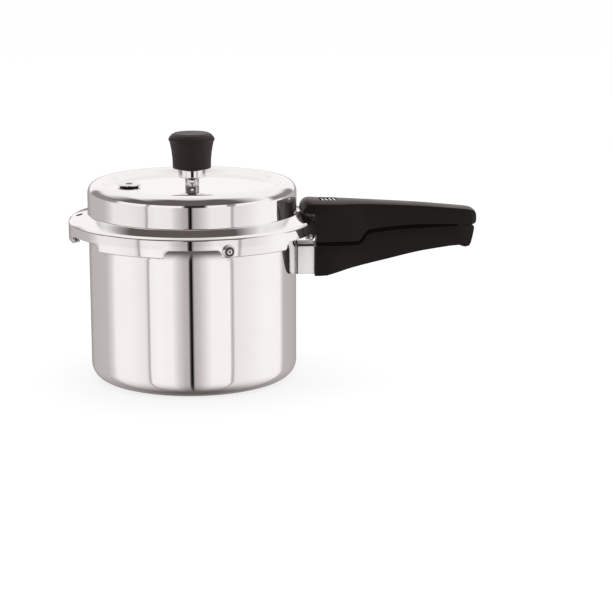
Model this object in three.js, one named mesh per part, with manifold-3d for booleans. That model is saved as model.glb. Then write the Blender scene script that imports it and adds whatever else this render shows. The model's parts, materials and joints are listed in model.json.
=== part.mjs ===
// Outer-lid stovetop pressure cooker, about 5 litres, in polished aluminium with black moulded handles.
// Millimetres, +Z up. The origin is on the pot's axis at the flat base, and the handles point along +X.
// Angles around the axis are given as phi, in degrees: 0 is the front (-Y), 90 is the handle side (+X).
import * as THREE from "three";
import { mergeVertices } from "three/addons/utils/BufferGeometryUtils.js";
import Module from "manifold-3d";

const wasm = await Module();
wasm.setup();

// ---------------------------------------------------------------- driving dimensions
const SEG = 48; // facets around the large turned parts
const POT_R = 100; // outer radius of the pot wall
const POT_T = 3; // pot wall
const BASE_T = 4; // pot base
const CORNER_R = 15; // outer radius between wall and base
const RIM_TOP = 150.2; // top of the pot's rim
const RIM_R = 108.5; // rim between the lugs
const LUG_R = 113.6; // rim at the lugs
const LUG_BOTTOM = 140.4; // underside of the turned-down lug lips
const LUG_HALF = 12; // half width of a pot lug, degrees
const LUGS = 6;
const LUG_PHI = 30; // first lug, at the middle of a lid tab when the lid is locked

const LID_WALL_R = 100.5; // outside of the lid's raised wall
const LID_T = 2.4;
const LID_TOP = 191.6; // crest of the lid's shoulder ring
const PLATE_Z = 186; // top of the lid's sunken centre plate
const SKIRT_R = 119.1; // outside of the skirt
const SKIRT_BOTTOM = 137.6; // bottom of the skirt's tabs
const NOTCH_Z = 144.8; // bottom of the skirt in the notches
const TAB_HALF = 17; // half width of a tab, degrees
const LID_LUG_R = 110.8; // inner edge of the lid's turned-in lugs
const LID_LUG_TOP = 139.8;

const VALVE_X = -60.5; // safety plug, opposite the handle
const STOP_PHI = 15.8; // stop rivet on the skirt
const STOP_Z = 143.6;
const GRIP_X0 = 122.5; // ribbed grip recess on the lid handle
const GRIP_X1 = 139;

// ---------------------------------------------------------------- materials
const mat = (color, roughness, metalness) => new THREE.MeshStandardMaterial({ color, roughness, metalness });
const ALU = mat(0xd9d7d4, 0.18, 1.0);
const STEEL = mat(0xc8c6c4, 0.22, 1.0);
const BLACK = mat(0x1d1a19, 0.5, 0.0);
const RUBBER = mat(0x2a2a2c, 0.8, 0.0);
const ALLOY = mat(0x8d8b89, 0.45, 1.0);

// ---------------------------------------------------------------- solids
const rad = (d) => (d * Math.PI) / 180;
const polar = (r, phi, z = 0) => new THREE.Vector3(r * Math.sin(rad(phi)), -r * Math.cos(rad(phi)), z);

// A closed geometry as a solid body, with its faces turned out.
function solid(geometry) {
  const g = geometry.index ? geometry.toNonIndexed() : geometry.clone();
  const bare = new THREE.BufferGeometry().setAttribute("position", g.getAttribute("position"));
  const merged = mergeVertices(bare, 1e-4);
  const idx = merged.index.array;
  const pos = merged.attributes.position.array;
  const tri = [];
  let volume = 0;
  for (let i = 0; i < idx.length; i += 3) {
    const [a, b, c] = [idx[i], idx[i + 1], idx[i + 2]];
    if (a === b || b === c || a === c) continue;
    tri.push(a, b, c);
    const p = (k) => new THREE.Vector3(pos[3 * k], pos[3 * k + 1], pos[3 * k + 2]);
    volume += p(a).dot(p(b).cross(p(c)));
  }
  if (volume < 0) for (let i = 0; i < tri.length; i += 3) [tri[i + 1], tri[i + 2]] = [tri[i + 2], tri[i + 1]];
  return new wasm.Manifold(
    new wasm.Mesh({ numProp: 3, vertProperties: new Float32Array(pos), triVerts: new Uint32Array(tri) }),
  );
}

function geometryOf(made) {
  const m = made.getMesh();
  const v = new Float32Array(m.numVert * 3);
  for (let i = 0; i < m.numVert; i++) v.set(m.vertProperties.subarray(i * m.numProp, i * m.numProp + 3), i * 3);
  const g = new THREE.BufferGeometry();
  g.setAttribute("position", new THREE.BufferAttribute(v, 3));
  g.setIndex(new THREE.BufferAttribute(new Uint32Array(m.triVerts), 1));
  g.computeVertexNormals();
  return g;
}

// A profile of [radius, z] points turned about +Z. It starts and ends on the axis, or closes on itself.
function turned(points, segments = SEG) {
  const p = points.map(([r, z]) => new THREE.Vector2(r, z));
  if (points[0][0] > 1e-6) p.push(p[0].clone());
  const g = new THREE.LatheGeometry(p, segments);
  g.rotateX(Math.PI / 2);
  return solid(g);
}

function box(x0, x1, y0, y1, z0, z1) {
  const g = new THREE.BoxGeometry(x1 - x0, y1 - y0, z1 - z0);
  g.translate((x0 + x1) / 2, (y0 + y1) / 2, (z0 + z1) / 2);
  return solid(g);
}

// A round bar from a to b.
function bar(r, a, b, segments = 16) {
  const from = new THREE.Vector3(...a);
  const to = new THREE.Vector3(...b);
  const g = new THREE.CylinderGeometry(r, r, from.distanceTo(to), segments);
  g.applyQuaternion(new THREE.Quaternion().setFromUnitVectors(new THREE.Vector3(0, 1, 0), to.clone().sub(from).normalize()));
  const mid = from.add(to).multiplyScalar(0.5);
  g.translate(mid.x, mid.y, mid.z);
  return solid(g);
}

// A wedge of space around the axis, phi0 to phi1, out to radius r.
function wedge(phi0, phi1, z0, z1, r = 150) {
  const s = new THREE.Shape();
  s.moveTo(0, 0);
  const n = Math.max(2, Math.ceil((phi1 - phi0) / 10));
  for (let i = 0; i <= n; i++) {
    const q = polar(r, phi0 + ((phi1 - phi0) * i) / n);
    s.lineTo(q.x, q.y);
  }
  s.closePath();
  const g = new THREE.ExtrudeGeometry(s, { depth: z1 - z0, bevelEnabled: false });
  g.translate(0, 0, z0);
  return solid(g);
}

function wedges(half, first, z0, z1) {
  let all = null;
  for (let k = 0; k < LUGS; k++) {
    const c = first + (k * 360) / LUGS;
    const w = wedge(c - half, c + half, z0, z1);
    all = all ? all.add(w) : w;
  }
  return all;
}

// A hexagonal prism about a vertical axis at x, across flats af.
function hexagon(x, af, z0, z1) {
  const g = new THREE.CylinderGeometry(af / Math.sqrt(3), af / Math.sqrt(3), z1 - z0, 6);
  g.rotateX(Math.PI / 2);
  g.translate(x, 0, (z0 + z1) / 2);
  return solid(g);
}

// A bar along +X through closed sections that all hold the same number of [y, z] points.
function lofted(stations) {
  const n = stations[0].points.length;
  const pos = [];
  const idx = [];
  for (const s of stations) for (const [y, z] of s.points) pos.push(s.x, y, z);
  for (let i = 0; i + 1 < stations.length; i++)
    for (let j = 0; j < n; j++) {
      const a = i * n + j;
      const b = i * n + ((j + 1) % n);
      idx.push(a, b, a + n, b, b + n, a + n);
    }
  const last = (stations.length - 1) * n;
  for (let j = 1; j + 1 < n; j++) {
    idx.push(0, j + 1, j);
    idx.push(last, last + j, last + j + 1);
  }
  const g = new THREE.BufferGeometry();
  g.setAttribute("position", new THREE.BufferAttribute(new Float32Array(pos), 3));
  g.setIndex(idx);
  return solid(g);
}

// Reads a list of [x, value] pairs at x.
function at(list, x) {
  if (x <= list[0][0]) return list[0][1];
  for (let i = 1; i < list.length; i++)
    if (x <= list[i][0]) {
      const [x0, v0] = list[i - 1];
      const [x1, v1] = list[i];
      return v0 + ((v1 - v0) * (x - x0)) / (x1 - x0);
    }
  return list[list.length - 1][1];
}

const cooker = new THREE.Group();
function piece(name, made, material, parent = cooker) {
  const mesh = new THREE.Mesh(geometryOf(made), material.clone());
  mesh.name = name;
  parent.add(mesh);
  return mesh;
}

// ---------------------------------------------------------------- pot
const pot = new THREE.Group();
cooker.add(pot);

const arc = (cr, cz, r, a0, a1, n) =>
  Array.from({ length: n + 1 }, (_, i) => {
    const a = rad(a0 + ((a1 - a0) * i) / n);
    return [cr + r * Math.cos(a), cz + r * Math.sin(a)];
  });

const potIn = POT_R - POT_T;
let potSolid = turned([
  [0, 0],
  ...arc(POT_R - CORNER_R, CORNER_R, CORNER_R, -90, 0, 5),
  [POT_R, 130],
  [100.6, 134.5],
  [102.1, 138.6],
  [104.4, 141.8],
  [107, 144],
  [RIM_R, 145.2],
  [RIM_R, RIM_TOP - 0.8],
  [RIM_R - 0.8, RIM_TOP],
  [101.5, RIM_TOP],
  [98.8, 148.9],
  [97.3, 146],
  [potIn, 141],
  ...arc(potIn - 12, BASE_T + 12, 12, 0, -90, 4),
  [0, BASE_T],
]);
// six rim lugs with turned-down lips
const lugRing = turned([
  [106, 147],
  [110.2, 147],
  [110.2, LUG_BOTTOM],
  [LUG_R, LUG_BOTTOM],
  [LUG_R, RIM_TOP - 1.4],
  [LUG_R - 1.4, RIM_TOP],
  [106, RIM_TOP],
]);
potSolid = potSolid.add(lugRing.intersect(wedges(LUG_HALF, LUG_PHI, 130, 160)));
const POT_RIVET_Z = [107.5, 122.5];
for (const z of POT_RIVET_Z) potSolid = potSolid.subtract(bar(2.8, [90, 0, z], [110, 0, z]));
piece("pot_body", potSolid, ALU, pot);

// pressed bracket: a saddle on the wall, a box nose open underneath, and a tongue that goes into the handle
let bracket = turned([
  [100.3, 98.6],
  [102.3, 98.6],
  [102.3, 131],
  [100.3, 131],
]).intersect(wedge(90 - 10.6, 90 + 10.6, 90, 140));
const boreless = turned([
  [0, 80],
  [101, 80],
  [101, 140],
  [0, 140],
]);
const hollow = box(90, 114.8, -11.3, 11.3, 90, 127.4).subtract(
  turned([
    [0, 80],
    [102.3, 80],
    [102.3, 140],
    [0, 140],
  ]),
);
bracket = bracket.add(box(90, 117, -13.5, 13.5, 100, 129.6).subtract(boreless).subtract(hollow));
for (const z of POT_RIVET_Z) bracket = bracket.subtract(bar(2.8, [95, 0, z], [110, 0, z]));
bracket = bracket.add(box(114.5, 152, -4.5, 4.5, 107, 121));
bracket = bracket.subtract(bar(2.6, [138, 0, 100], [138, 0, 130]));
piece("pot_bracket", bracket, STEEL, pot);

// rivets with a head inside the pot, clinched on the saddle inside the box nose
POT_RIVET_Z.forEach((z, i) => {
  const head = solid(
    new THREE.LatheGeometry(
      [
        [0, 0],
        [5.2, 0],
        [4.9, 0.9],
        [3.6, 1.8],
        [0, 2.2],
      ].map(([r, h]) => new THREE.Vector2(r, h)),
      20,
    )
      .rotateZ(Math.PI / 2)
      .translate(96.6, 0, z),
  );
  const shank = bar(2.5, [96.3, 0, z], [104, 0, z], 16);
  const tail = bar(4.4, [102.7, 0, z], [104.4, 0, z], 16);
  piece(i ? "pot_rivet_upper" : "pot_rivet_lower", head.add(shank).add(tail), STEEL, pot);
});
// lower handle
const LOW_TOP = [[117.4, 130.2], [160, 130.2], [163.4, 132.6], [168.2, 140.2], [173, 142.2], [190, 144.4], [215, 146.2], [240, 146.6], [269, 146.5], [272.6, 146.2], [273.6, 145.3]];
const LOW_BOTTOM = [[117.4, 99], [128.4, 99], [140, 102.3], [153.3, 106.2], [184.2, 113.4], [215.3, 120.7], [240, 125], [257, 127.2], [261, 125.8], [266, 125.4], [269.5, 127.4], [271.6, 135.6], [273.6, 143.8]];
const LOW_HALF = [[117.4, 16], [135, 16], [155, 13], [175, 11.4], [215, 10.8], [262, 10.6], [269, 9.8], [273.6, 8.2]];
function lowSection(x) {
  const t = at(LOW_TOP, x);
  const b = at(LOW_BOTTOM, x);
  const w = at(LOW_HALF, x);
  const c = Math.min(3.5, (t - b) / 4);
  return {
    x,
    points: [[-w + 1, t], [w - 1, t], [w, t - 1], [w, b + c], [w - c * 0.35, b + c * 0.4], [w - c, b], [-w + c, b], [-w + c * 0.35, b + c * 0.4], [-w, b + c], [-w, t - 1]],
  };
}
let lowHandle = lofted(
  [117.4, 128.4, 135, 140, 155, 160, 163.4, 168.2, 173, 190, 215, 240, 257, 261, 266, 269.5, 271.6, 273.6].map(lowSection),
);
lowHandle = lowHandle.subtract(box(110, 152.6, -5, 5, 106.4, 121.6));
lowHandle = lowHandle.subtract(bar(2.7, [138, 0, 90], [138, 0, 124.4]));
lowHandle = lowHandle.subtract(bar(5.4, [138, 0, 90], [138, 0, 105.4]));
piece("lower_handle", lowHandle, BLACK, pot);
let lowWasher = bar(4.9, [138, 0, 104.1], [138, 0, 105.1]).subtract(bar(2.7, [138, 0, 90], [138, 0, 124]));
piece("lower_handle_washer", lowWasher, STEEL, pot);
const lowScrew = bar(2.3, [138, 0, 103], [138, 0, 123.8])
  .add(bar(4.6, [138, 0, 101.6], [138, 0, 103.8]))
  .subtract(box(134, 142, -0.6, 0.6, 100, 102.5));
piece("lower_handle_screw", lowScrew, STEEL, pot);

// ---------------------------------------------------------------- gasket
// C-section sealing ring between the pot's rim and the lid's flange
piece(
  "gasket",
  turned([
    [101.6, 150.5],
    [113.2, 150.5],
    [114.1, 151.4],
    [114.1, 153.4],
    [112.4, 154.6],
    [105.4, 155.9],
    [102.8, 156.5],
    [101.9, 155.6],
    [102.6, 154.2],
    [108.2, 153.6],
    [108.2, 152.6],
    [101.6, 152.4],
  ]),
  RUBBER,
);

// ---------------------------------------------------------------- lid
const lid = new THREE.Group();
cooker.add(lid);

let lidSolid = turned([
  [0, PLATE_Z],
  [78.5, PLATE_Z],
  [81, 186.7],
  [85.2, 190.3],
  [88.5, LID_TOP],
  [92.6, 190.9],
  [96.2, 188.8],
  [98.9, 185.6],
  [100.2, 182],
  [LID_WALL_R, 179.6],
  [LID_WALL_R, 165],
  [101.1, 161.9],
  [102.8, 159.9],
  [105.6, 158.9],
  [116.4, 157],
  [118.5, 155.6],
  [SKIRT_R, 153.2],
  [SKIRT_R, SKIRT_BOTTOM],
  [SKIRT_R - LID_T, SKIRT_BOTTOM],
  [SKIRT_R - LID_T, 152.6],
  [115.6, 154.3],
  [105.2, 156.4],
  [101, 157.6],
  [98.8, 160.6],
  [LID_WALL_R - LID_T, 165],
  [LID_WALL_R - LID_T, 179.6],
  [97.7, 182],
  [96.6, 184.4],
  [94.6, 186.8],
  [91.8, 188.5],
  [88.6, 189.1],
  [86.4, 188.2],
  [82.2, 184.5],
  [79.4, PLATE_Z - LID_T],
  [0, PLATE_Z - LID_T],
]);
// notches in the skirt, and the tabs' turned-in lugs
lidSolid = lidSolid.subtract(
  turned([
    [114, 130],
    [124, 130],
    [124, NOTCH_Z],
    [114, NOTCH_Z],
  ]).intersect(wedges(30 - TAB_HALF, 0, 120, 150)),
);
lidSolid = lidSolid.add(
  turned([
    [LID_LUG_R, SKIRT_BOTTOM],
    [118, SKIRT_BOTTOM],
    [118, LID_LUG_TOP],
    [LID_LUG_R, LID_LUG_TOP],
  ]).intersect(wedges(TAB_HALF, LUG_PHI, 130, 150)),
);
// bores for the vent, the safety plug and the rivets, and the gasket's release window opposite the handle
lidSolid = lidSolid.subtract(bar(4.4, [0, 0, 170], [0, 0, 195]));
lidSolid = lidSolid.subtract(bar(6.4, [VALVE_X, 0, 170], [VALVE_X, 0, 195], 24));
lidSolid = lidSolid.subtract(box(-112, -105, -4.6, 4.6, 153, 165));
const stopOut = polar(1, STOP_PHI);
lidSolid = lidSolid.subtract(
  bar(2.2, [stopOut.x * 105, stopOut.y * 105, STOP_Z], [stopOut.x * 130, stopOut.y * 130, STOP_Z], 16),
);
const LID_RIVET_PHI = [86.6, 93.4];
for (const phi of LID_RIVET_PHI) {
  const d = polar(1, phi);
  lidSolid = lidSolid.subtract(bar(2, [d.x * 110, d.y * 110, 147], [d.x * 130, d.y * 130, 147], 16));
}
piece("lid_shell", lidSolid, ALU, lid);

// stop rivet: its inner stub runs in the space between two pot lugs
{
  const head = solid(
    new THREE.LatheGeometry(
      [
        [0, 119.5],
        [6, 119.5],
        [6, 120.4],
        [4.9, 121.8],
        [3, 122.5],
        [0, 122.7],
      ].map(([r, h]) => new THREE.Vector2(r, h)),
      24,
    ),
  );
  const stub = solid(new THREE.CylinderGeometry(1.9, 1.9, 8.4, 16).translate(0, 115.6, 0));
  const inner = solid(new THREE.CylinderGeometry(2.5, 2.5, 1.5, 16).translate(0, 115.2, 0));
  const slot = solid(new THREE.BoxGeometry(5, 1.6, 1).translate(0, 122.6, 0)).add(
    solid(new THREE.BoxGeometry(1, 1.6, 5).translate(0, 122.6, 0)),
  );
  const mesh = piece("stop_rivet", head.add(stub).add(inner).subtract(slot), STEEL, lid);
  mesh.rotation.z = rad(STOP_PHI - 180);
  mesh.position.set(0, 0, STOP_Z);
}

// bracket on the skirt that carries the lid handle
let lidBracket = turned([
  [119.4, 141.2],
  [121.2, 141.2],
  [121.2, 152.4],
  [119.4, 152.4],
])
  .intersect(wedge(90 - 5.6, 90 + 5.6, 135, 160))
  .add(box(120.6, 165, -6.5, 6.5, 142.8, 149.4));
for (const phi of LID_RIVET_PHI) {
  const d = polar(1, phi);
  lidBracket = lidBracket.subtract(bar(2, [d.x * 110, d.y * 110, 147], [d.x * 124.2, d.y * 124.2, 147], 16));
}
lidBracket = lidBracket.subtract(bar(2.4, [143, 0, 135], [143, 0, 155]));
piece("lid_bracket", lidBracket, STEEL, lid);
LID_RIVET_PHI.forEach((phi, i) => {
  const d = polar(1, phi);
  const p = (r) => [d.x * r, d.y * r, 147];
  const made = bar(1.7, p(115.2), p(123.9), 16).add(bar(3.2, p(114.9), p(116.2), 16));
  piece(i ? "lid_bracket_rivet_rear" : "lid_bracket_rivet_front", made, STEEL, lid);
});

// upper handle: a nose over the flange, a deep block outside the skirt and a slim grip
const UP_BOTTOM = [[103, 161], [104, 160.4], [106.4, 159.6], [109.6, 159.4], [120, 159.4], [120.4, 132], [158.8, 132], [162, 134], [166.8, 141.6], [172.6, 143.9], [190, 146.1], [215, 147.8], [240, 148], [275.4, 147.3]];
const UP_SIDE = [[103, 162.6], [104, 164.6], [106.4, 167.6], [109.6, 169.6], [113.6, 170.6], [140, 170.8], [168, 169.4], [215, 166.7], [262, 162.8], [270, 161.2], [275.4, 157.6]];
const UP_CREST = [[103, 163], [104, 165], [106.4, 168.1], [109.6, 170.1], [113.6, 171.1], [140, 171.3], [168, 169.9], [215, 167.2], [262, 163.3], [270, 161.7], [275.4, 158]];
const UP_HALF = [[103, 7.6], [104, 10.6], [106.4, 14.2], [109.6, 16], [113.6, 16.5], [137, 16.5], [153, 13.2], [171, 11.2], [215, 10.8], [262, 10.6], [270, 9.9], [275.4, 8]];
function upSection(x) {
  const b = at(UP_BOTTOM, x);
  const s = at(UP_SIDE, x);
  const c = at(UP_CREST, x);
  const w = at(UP_HALF, x);
  return {
    x,
    points: [[w, b], [-w, b], [-w, s], [-w * 0.86, s + (c - s) * 0.5], [-w * 0.55, s + (c - s) * 0.88], [0, c], [w * 0.55, s + (c - s) * 0.88], [w * 0.86, s + (c - s) * 0.5], [w, s]],
  };
}
let upHandle = lofted(
  [103, 104, 106.4, 109.6, 113.6, 120, 120.4, 137, 153, 158.8, 162, 166.8, 172.6, 190, 215, 240, 262, 270, 275.4].map(upSection),
);
upHandle = upHandle.subtract(box(110, 123, -12.6, 12.6, 130, 153.2)); // room for the skirt's saddle and rivets
upHandle = upHandle.subtract(box(120, 165.6, -7, 7, 142.2, 150));
for (const phi of LID_RIVET_PHI) {
  const d = polar(1, phi);
  upHandle = upHandle.subtract(bar(4, [d.x * 118, d.y * 118, 147], [d.x * 125, d.y * 125, 147], 16));
}
upHandle = upHandle.subtract(bar(2.5, [143, 0, 130], [143, 0, 153]));
upHandle = upHandle.subtract(bar(5, [143, 0, 130], [143, 0, 137]));
upHandle = upHandle.subtract(box(GRIP_X0, GRIP_X1, -8, 8, 167.2, 180));
piece("upper_handle", upHandle, BLACK, lid);
piece(
  "upper_handle_washer",
  bar(4.5, [143, 0, 135.7], [143, 0, 136.7]).subtract(bar(2.5, [143, 0, 130], [143, 0, 150])),
  STEEL,
  lid,
);
piece(
  "upper_handle_screw",
  bar(2.1, [143, 0, 134.4], [143, 0, 152.2])
    .add(bar(4.2, [143, 0, 133], [143, 0, 135.4]))
    .subtract(box(139, 147, -0.6, 0.6, 131, 133.9)),
  STEEL,
  lid,
);
// ribbed insert in the grip recess: a plate with four slanted ribs
{
  let insert = box(GRIP_X0 + 0.4, GRIP_X1 - 0.4, -7.6, 7.6, 167.5, 168.5);
  for (let k = 0; k < 4; k++) {
    const g = new THREE.BoxGeometry(1.7, 12.4, 2.4);
    g.rotateZ(rad(12));
    g.translate(GRIP_X0 + 2.6 + k * 3.8, 0, 169.5);
    insert = insert.add(solid(g));
  }
  piece("grip_insert", insert, STEEL, lid);
}

// vent pipe at the centre, with its seal, washer and nut
let pipe = turned(
  [
    [1.6, 172.6],
    [3.9, 172.6],
    [3.9, 186.9],
    [6.75, 186.9],
    [6.75, 192.6],
    [6, 193.4],
    [4, 193.4],
    [4, 205.2],
    [3, 206.6],
    [1.6, 206.6],
  ],
  32,
);
pipe = pipe.subtract(bar(1.7, [0, -10, 189.9], [0, 10, 189.9], 16));
piece("vent_pipe", pipe, STEEL, lid);
piece(
  "vent_seal",
  turned(
    [
      [4.3, 186.2],
      [6.5, 186.2],
      [6.5, 186.6],
      [4.3, 186.6],
    ],
    24,
  ),
  RUBBER,
  lid,
);
piece(
  "vent_washer",
  turned(
    [
      [4.3, 182.2],
      [9, 182.2],
      [9, 183.3],
      [4.3, 183.3],
    ],
    24,
  ),
  STEEL,
  lid,
);
piece("vent_nut", hexagon(0, 14, 176.4, 181.9).subtract(bar(4.3, [0, 0, 170], [0, 0, 190])), STEEL, lid);

// fusible safety plug opposite the handle
const valveAt = (made) => made.translate([VALVE_X, 0, 0]);
piece(
  "safety_plug_body",
  valveAt(
    turned(
      [
        [3.1, 175],
        [5.9, 175],
        [5.9, 187.1],
        [10.6, 187.1],
        [11.2, 187.5],
        [11.2, 188],
        [9.6, 188.7],
        [6, 188.9],
        [5, 188.4],
        [3.1, 188.4],
      ],
      28,
    ),
  ),
  STEEL,
  lid,
);
piece(
  "safety_plug_slug",
  valveAt(
    turned(
      [
        [0, 175.4],
        [2.8, 175.4],
        [2.8, 188.7],
        [2, 189.4],
        [0, 189.6],
      ],
      24,
    ),
  ),
  ALLOY,
  lid,
);
piece(
  "safety_plug_seal",
  valveAt(
    turned(
      [
        [6.3, 186.25],
        [9.4, 186.25],
        [9.4, 186.8],
        [6.3, 186.8],
      ],
      28,
    ),
  ),
  RUBBER,
  lid,
);
piece(
  "safety_plug_nut",
  hexagon(VALVE_X, 18, 177.6, 183.3).subtract(bar(6.3, [VALVE_X, 0, 170], [VALVE_X, 0, 190], 24)),
  STEEL,
  lid,
);

// ---------------------------------------------------------------- weight valve
const weight = new THREE.Group();
cooker.add(weight);
piece(
  "weight_body",
  turned(
    [
      [0, 208.6],
      [1.4, 207],
      [4.7, 207],
      [4.7, 195.6],
      [5.3, 194.6],
      [12.6, 194.6],
      [13.2, 195.2],
      [13.2, 203],
      [10.8, 203],
      [10.8, 224.6],
      [4, 224.6],
      [4, 231.4],
      [0, 231.4],
    ],
    28,
  ),
  STEEL,
  weight,
);
piece(
  "weight_knob",
  turned(
    [
      [11.2, 203.4],
      [17.6, 203.4],
      [18.4, 204.4],
      [18.5, 209],
      [19, 216],
      [20.2, 224.5],
      [21.2, 228.8],
      [22.2, 231],
      [21.6, 233],
      [19.6, 235.6],
      [16.6, 236.9],
      [0, 237.4],
      [0, 231.8],
      [4.4, 231.8],
      [4.4, 225],
      [11.2, 225],
    ],
    28,
  ),
  BLACK,
  weight,
);

export default cooker;
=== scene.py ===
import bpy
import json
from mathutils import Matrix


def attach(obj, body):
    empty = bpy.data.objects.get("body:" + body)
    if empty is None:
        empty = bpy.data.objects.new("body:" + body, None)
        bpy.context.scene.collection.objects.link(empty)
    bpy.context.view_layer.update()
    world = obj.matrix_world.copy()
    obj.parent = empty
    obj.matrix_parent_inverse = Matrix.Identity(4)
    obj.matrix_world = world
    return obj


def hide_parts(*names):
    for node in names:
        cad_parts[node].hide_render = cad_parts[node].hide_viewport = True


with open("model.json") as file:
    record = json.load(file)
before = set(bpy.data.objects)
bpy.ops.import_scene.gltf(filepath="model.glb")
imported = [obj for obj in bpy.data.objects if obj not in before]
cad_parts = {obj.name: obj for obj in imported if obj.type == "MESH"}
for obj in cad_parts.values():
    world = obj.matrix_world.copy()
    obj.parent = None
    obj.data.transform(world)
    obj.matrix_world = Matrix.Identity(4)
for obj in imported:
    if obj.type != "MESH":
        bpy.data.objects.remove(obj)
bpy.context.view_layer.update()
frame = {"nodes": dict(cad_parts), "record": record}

import json
import math

import bmesh
import bpy
import numpy as np
from mathutils import Matrix, Vector

MM = 0.001
scene = bpy.context.scene


# ------------------------------------------------------------------ shader helpers
def new_material(name):
    m = bpy.data.materials.new(name)
    m.use_nodes = True
    nt = m.node_tree
    return m, nt, nt.nodes["Principled BSDF"]


def node(nt, kind, **values):
    n = nt.nodes.new(kind)
    for k, v in values.items():
        if k in n.inputs:
            n.inputs[k].default_value = v
        else:
            setattr(n, k, v)
    return n


def math_node(nt, op, a, b=None, clamp=False):
    n = nt.nodes.new("ShaderNodeMath")
    n.operation = op
    n.use_clamp = clamp
    for i, v in enumerate((a, b)):
        if v is None:
            continue
        if isinstance(v, (int, float)):
            n.inputs[i].default_value = v
        else:
            nt.links.new(v, n.inputs[i])
    return n.outputs[0]


def ramp(nt, fac, stops):
    r = nt.nodes.new("ShaderNodeValToRGB")
    e = r.color_ramp.elements
    while len(e) < len(stops):
        e.new(0.5)
    for el, (p, c) in zip(e, stops):
        el.position = p
        el.color = (c, c, c, 1) if isinstance(c, (int, float)) else (*c, 1)
    nt.links.new(fac, r.inputs[0])
    return r.outputs[0]


def turning_coords(nt, across, along):
    """Texture space that follows a turned part: fine steps across radius and height, long runs around the axis."""
    tc = nt.nodes.new("ShaderNodeTexCoord")
    sep = nt.nodes.new("ShaderNodeSeparateXYZ")
    nt.links.new(tc.outputs["Object"], sep.inputs[0])
    x, y, z = sep.outputs
    rr = math_node(nt, "SQRT", math_node(nt, "ADD", math_node(nt, "MULTIPLY", x, x), math_node(nt, "MULTIPLY", y, y)))
    ang = math_node(nt, "ARCTAN2", x, y)
    comb = nt.nodes.new("ShaderNodeCombineXYZ")
    nt.links.new(math_node(nt, "MULTIPLY", rr, across), comb.inputs[0])
    nt.links.new(math_node(nt, "MULTIPLY", z, across), comb.inputs[1])
    nt.links.new(math_node(nt, "MULTIPLY", math_node(nt, "SINE", ang), along), comb.inputs[2])
    return comb.outputs[0], tc.outputs["Object"]


def metal(name, colour, rough_low, rough_high, across, bump, along=3.0, grime=0.0, metallic=1.0, lean=0.0):
    m, nt, p = new_material(name)
    p.inputs["Metallic"].default_value = metallic
    vec, obj = turning_coords(nt, across, along)
    lines = node(nt, "ShaderNodeTexNoise", Scale=1.0, Detail=3.0, Roughness=0.6)
    nt.links.new(vec, lines.inputs["Vector"])
    cloud = node(nt, "ShaderNodeTexNoise", Scale=26.0, Detail=4.0, Roughness=0.6)
    nt.links.new(obj, cloud.inputs["Vector"])
    mixed = math_node(nt, "ADD", math_node(nt, "MULTIPLY", lines.outputs["Fac"], 0.55), math_node(nt, "MULTIPLY", cloud.outputs["Fac"], 0.45))
    rough = nt.nodes.new("ShaderNodeMapRange")
    rough.inputs["From Min"].default_value = 0.3
    rough.inputs["From Max"].default_value = 0.7
    rough.inputs["To Min"].default_value = rough_low
    rough.inputs["To Max"].default_value = rough_high
    nt.links.new(mixed, rough.inputs["Value"])
    nt.links.new(rough.outputs[0], p.inputs["Roughness"])
    lo = tuple(c * (0.965 - grime) for c in colour)
    nt.links.new(ramp(nt, mixed, [(0.3, lo), (0.62, colour)]), p.inputs["Base Color"])
    b = node(nt, "ShaderNodeBump", Strength=bump, Distance=0.00004)
    nt.links.new(lines.outputs["Fac"], b.inputs["Height"])
    if lean:
        # upright walls drawn in slightly towards the top
        taper = node(nt, "ShaderNodeBump", Strength=1.0, Distance=1.0)
        sep = nt.nodes.new("ShaderNodeSeparateXYZ")
        nt.links.new(obj, sep.inputs[0])
        nt.links.new(math_node(nt, "MULTIPLY", sep.outputs[2], -math.tan(math.radians(lean))), taper.inputs["Height"])
        nt.links.new(taper.outputs[0], b.inputs["Normal"])
    nt.links.new(b.outputs[0], p.inputs["Normal"])
    return m


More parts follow.
